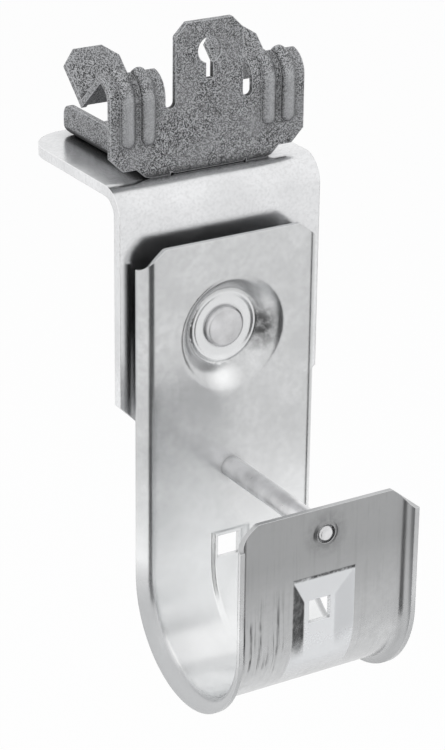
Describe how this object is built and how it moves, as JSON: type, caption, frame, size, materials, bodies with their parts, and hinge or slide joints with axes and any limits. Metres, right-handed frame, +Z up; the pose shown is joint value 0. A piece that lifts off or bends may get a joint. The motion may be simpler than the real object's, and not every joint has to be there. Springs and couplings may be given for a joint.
{
  "type": "j hook cable support",
  "caption": "Stamped J hook with retaining rod, riveted to an angle bracket under a spring clip that grips a beam flange.",
  "frame": {"origin": "middle of the clip's throat, where the beam flange's edge meets the back face of the clip's spine, level with the top edges of its lower jaw", "axes": "+X to the right seen from the hook's mouth, +Y back into the beam flange, +Z up"},
  "size_m": [0.0452, 0.0806, 0.1293],
  "materials": {
    "galvanized": "galvanized sheet, pale grey, faintly mottled",
    "zinc_plate": "bright zinc plate",
    "rivet_steel": "bright zinc plate, clenched",
    "spring_steel": "dark grey phosphate, matt and grainy",
    "rod_steel": "bright drawn rod"
  },
  "bodies": {
    "root": {"hook": "galvanized", "angle_bracket": "zinc_plate", "hook_rivet": "rivet_steel", "beam_clip": "spring_steel", "clip_rivet": "rivet_steel", "retaining_rod": "rod_steel"}
  },
  "joints": []
}
